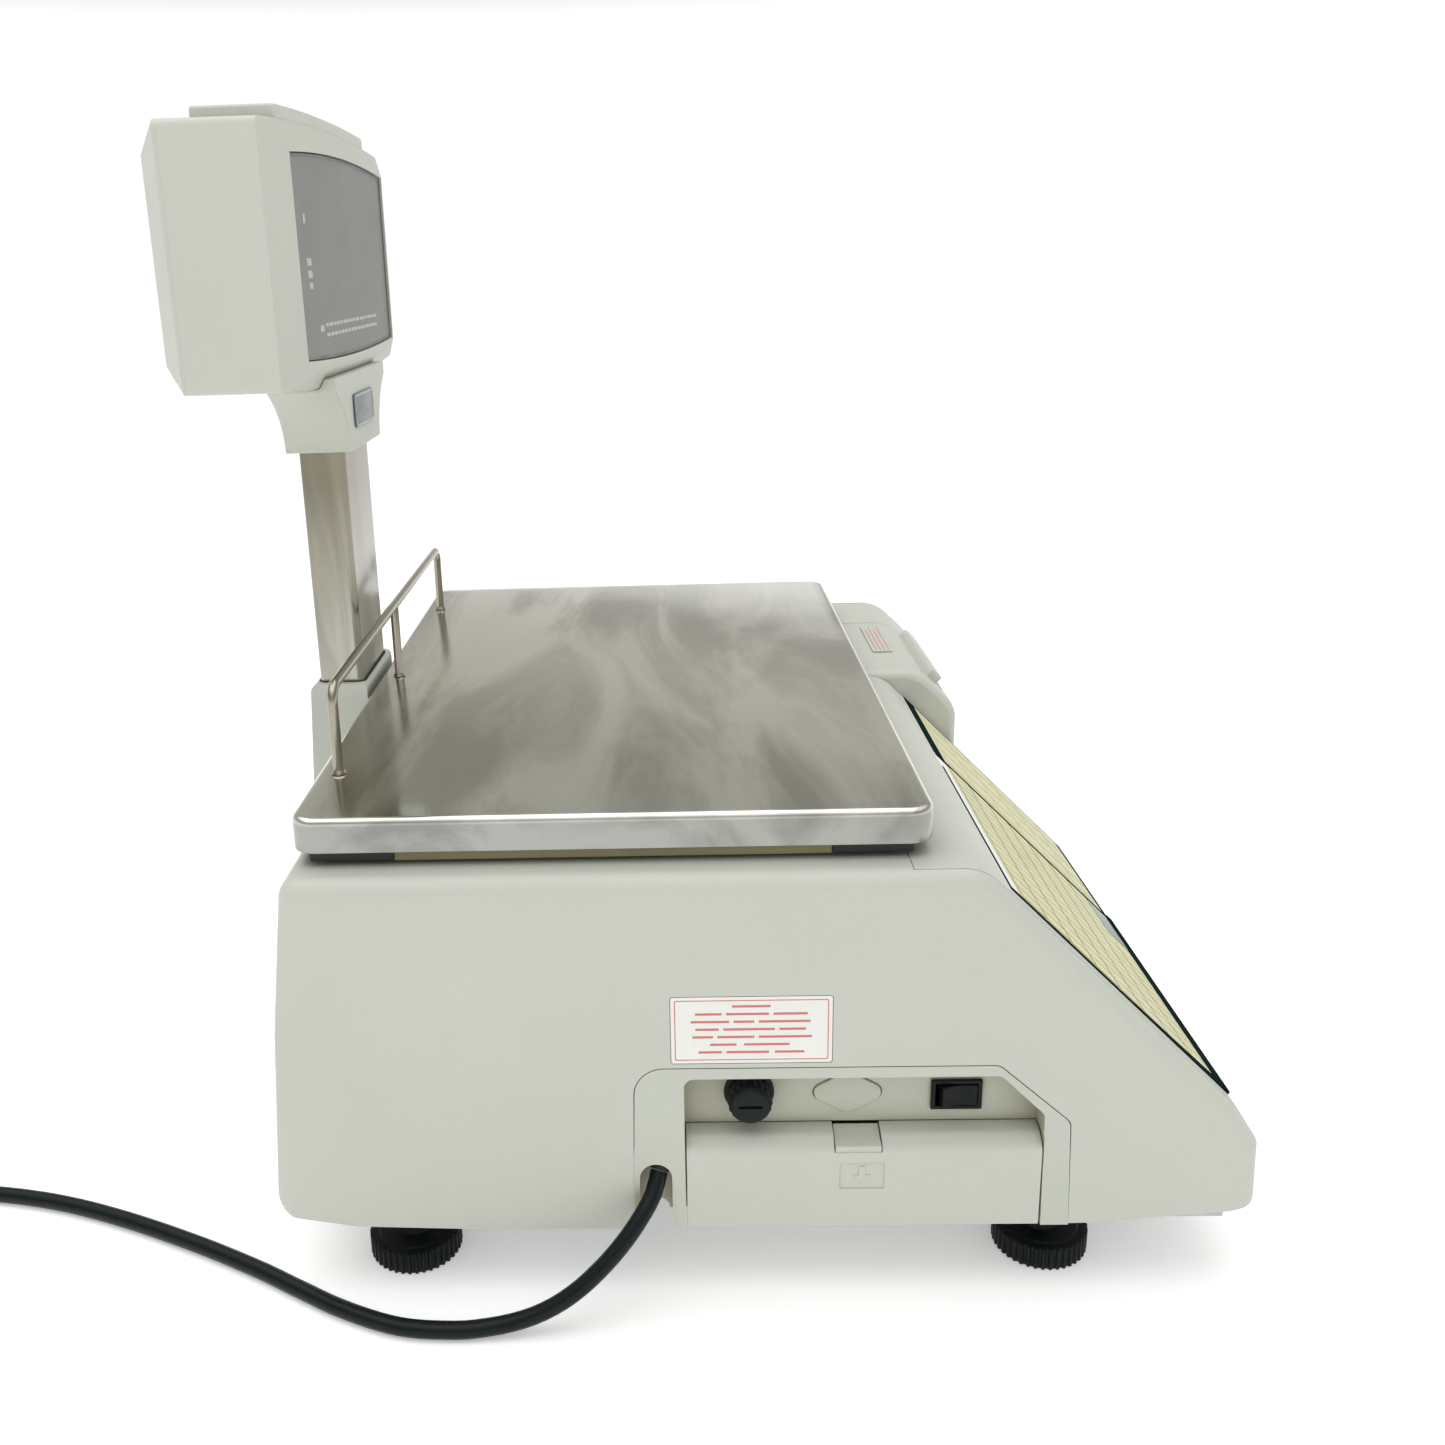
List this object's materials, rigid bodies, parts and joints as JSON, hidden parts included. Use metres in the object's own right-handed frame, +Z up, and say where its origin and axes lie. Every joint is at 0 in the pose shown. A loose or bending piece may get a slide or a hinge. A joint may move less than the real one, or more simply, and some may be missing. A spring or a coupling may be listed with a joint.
{
  "type": "retail price scale",
  "caption": "Counter price scale with a stainless platter on a load cell, sloped keypad, label printer, two-sided display on a pole and a mains cord.",
  "frame": {"origin": "on the counter, under the middle of the scale without its cord", "axes": "+X to the operator's right, -Y towards the operator, +Z up"},
  "size_m": [0.4391, 0.7019, 0.4702],
  "materials": {
    "housing": "fine-textured off-white moulded plastic",
    "keypad_film": "printed cream membrane film",
    "window": "smooth grey tinted plastic",
    "stainless": "polished stainless sheet, lightly smeared",
    "aluminium": "machined",
    "steel": "plain zinc-plated",
    "black_plastic": "satin moulded",
    "foot_plastic": "satin moulded, ribbed edge",
    "rubber": "matt",
    "cord": "satin sheath with faint printing",
    "label": "printed paper label",
    "badge": "blank blue-grey badge",
    "circuit_board": "solder mask",
    "paper": "coated label paper",
    "gear_plastic": "natural acetal",
    "glass": "clear fuse tube",
    "iron": "laminated core with windings",
    "frame_casting": "black painted casting"
  },
  "bodies": {
    "base": {"housing_shell": "housing", "front_fascia": "housing", "printer_cover": "housing", "side_panel": "housing", "pole_bracket": "housing", "display_front_shell": "housing", "display_rear_shell": "housing", "display_neck": "housing", "bottom_pan": "steel", "switch_housing": "black_plastic", "fuse_holder": "black_plastic", "calibration_board": "circuit_board", "interface_board": "circuit_board", "keypad_board": "circuit_board", "main_board": "circuit_board", "display_board": "circuit_board", "speed_keypad": "keypad_film", "function_keypad": "keypad_film", "safety_label": "label", "pole_tube": "stainless", "tear_bar": "stainless", "load_cell": "aluminium", "load_cell_base": "aluminium", "power_transformer": "iron", "printer_chassis": "steel", "feed_motor": "steel", "operator_window": "window", "customer_window": "window", "badge_plate": "badge", "strain_relief": "rubber", "mains_cord": "cord", "cord_coil": "cord", "mains_plug": "black_plastic"},
    "weigh_platform": {"weigh_frame": "frame_casting", "cushion_front_left": "rubber", "cushion_front_right": "rubber", "cushion_rear_left": "rubber", "cushion_rear_right": "rubber"},
    "platter": {"platter": "stainless", "guard_rail": "stainless"},
    "power_rocker": {"power_rocker": "black_plastic"},
    "fuse_carrier": {"fuse_cartridge": "glass"},
    "fuse_cap": {"fuse_cap": "black_plastic"},
    "calibration_cover": {"calibration_cover": "housing"},
    "calibration_switch": {"calibration_switch": "black_plastic"},
    "compartment_cover": {"compartment_cover": "housing"},
    "printer_lid": {"printer_lid": "housing", "lid_label": "label"},
    "label_roll": {"label_roll": "paper", "label_spool": "gear_plastic"},
    "platen": {"platen_roller": "rubber", "platen_gear": "gear_plastic"},
    "motor_pinion": {"motor_pinion": "gear_plastic"},
    "idler_gear": {"idler_gear": "gear_plastic"},
    "rewind_spool": {"rewind_spool": "gear_plastic"},
    "print_head": {"thermal_head": "steel"},
    "foot_front_left": {"foot_front_left": "foot_plastic"},
    "foot_front_right": {"foot_front_right": "foot_plastic"},
    "foot_rear_left": {"foot_rear_left": "foot_plastic"},
    "foot_rear_right": {"foot_rear_right": "foot_plastic"}
  },
  "joints": [
    {"name": "weigh_travel", "type": "slide", "parent": "base", "child": "weigh_platform", "axis": [0, 0, -1], "range_m": [0, 0.0015], "stiffness_N_per_m": 147000, "springref_m": -0.00015},
    {"name": "platter_lift", "type": "slide", "parent": "weigh_platform", "child": "platter", "axis": [0, 0, 1], "range_m": [0, 0.06]},
    {"name": "power_rocker_tilt", "type": "hinge", "parent": "base", "child": "power_rocker", "pos_m": [-0.1905, -0.0995, 0.0833], "axis": [0, 0, -1], "range_deg": [0, 18]},
    {"name": "fuse_pull", "type": "slide", "parent": "base", "child": "fuse_carrier", "axis": [-1, 0, 0], "range_m": [0, 0.035]},
    {"name": "fuse_cap_turn", "type": "hinge", "parent": "fuse_carrier", "child": "fuse_cap", "pos_m": [-0.2, -0.0175, 0.0853], "axis": [-1, 0, 0], "range_deg": [0, 90]},
    {"name": "calibration_cover_pull", "type": "slide", "parent": "base", "child": "calibration_cover", "axis": [-1, 0, 0], "range_m": [0, 0.015]},
    {"name": "calibration_press", "type": "slide", "parent": "base", "child": "calibration_switch", "axis": [1, 0, 0], "range_m": [0, 0.0012], "stiffness_N_per_m": 800},
    {"name": "compartment_cover_hinge", "type": "hinge", "parent": "base", "child": "compartment_cover", "pos_m": [-0.2037, -0.0615, 0.032], "axis": [0, -1, 0], "range_deg": [0, 95]},
    {"name": "printer_lid_hinge", "type": "hinge", "parent": "base", "child": "printer_lid", "pos_m": [0.105, -0.094, 0.186], "axis": [-1, 0, 0], "range_deg": [0, 85]},
    {"name": "label_roll_spin", "type": "hinge", "parent": "base", "child": "label_roll", "pos_m": [0.105, -0.085, 0.11], "axis": [1, 0, 0], "continuous": true},
    {"name": "platen_spin", "type": "hinge", "parent": "base", "child": "platen", "pos_m": [0.105, -0.128, 0.16], "axis": [1, 0, 0], "continuous": true},
    {"name": "motor_pinion_spin", "type": "hinge", "parent": "base", "child": "motor_pinion", "pos_m": [0.143, -0.1124, 0.16], "axis": [1, 0, 0], "continuous": true},
    {"name": "idler_spin", "type": "hinge", "parent": "base", "child": "idler_gear", "pos_m": [0.143, -0.128, 0.1422], "axis": [1, 0, 0], "continuous": true},
    {"name": "rewind_spin", "type": "hinge", "parent": "base", "child": "rewind_spool", "pos_m": [0.105, -0.132, 0.1265], "axis": [1, 0, 0], "continuous": true},
    {"name": "print_head_lift", "type": "hinge", "parent": "base", "child": "print_head", "pos_m": [0.1, -0.104, 0.1685], "axis": [-1, 0, 0], "range_deg": [0, 6]},
    {"name": "foot_front_left_screw", "type": "hinge", "parent": "base", "child": "foot_front_left", "pos_m": [-0.176, -0.141, 0.02], "axis": [0, 0, 1], "continuous": true},
    {"name": "foot_front_right_screw", "type": "hinge", "parent": "base", "child": "foot_front_right", "pos_m": [0.176, -0.141, 0.02], "axis": [0, 0, 1], "continuous": true},
    {"name": "foot_rear_left_screw", "type": "hinge", "parent": "base", "child": "foot_rear_left", "pos_m": [-0.176, 0.1245, 0.02], "axis": [0, 0, 1], "continuous": true},
    {"name": "foot_rear_right_screw", "type": "hinge", "parent": "base", "child": "foot_rear_right", "pos_m": [0.176, 0.1245, 0.02], "axis": [0, 0, 1], "continuous": true}
  ],
  "couplings": [
    {"joint": "motor_pinion_spin", "follows": "platen_spin", "ratio": -1.7143},
    {"joint": "idler_spin", "follows": "platen_spin", "ratio": -1.2},
    {"joint": "rewind_spin", "follows": "platen_spin", "ratio": 1.2}
  ]
}
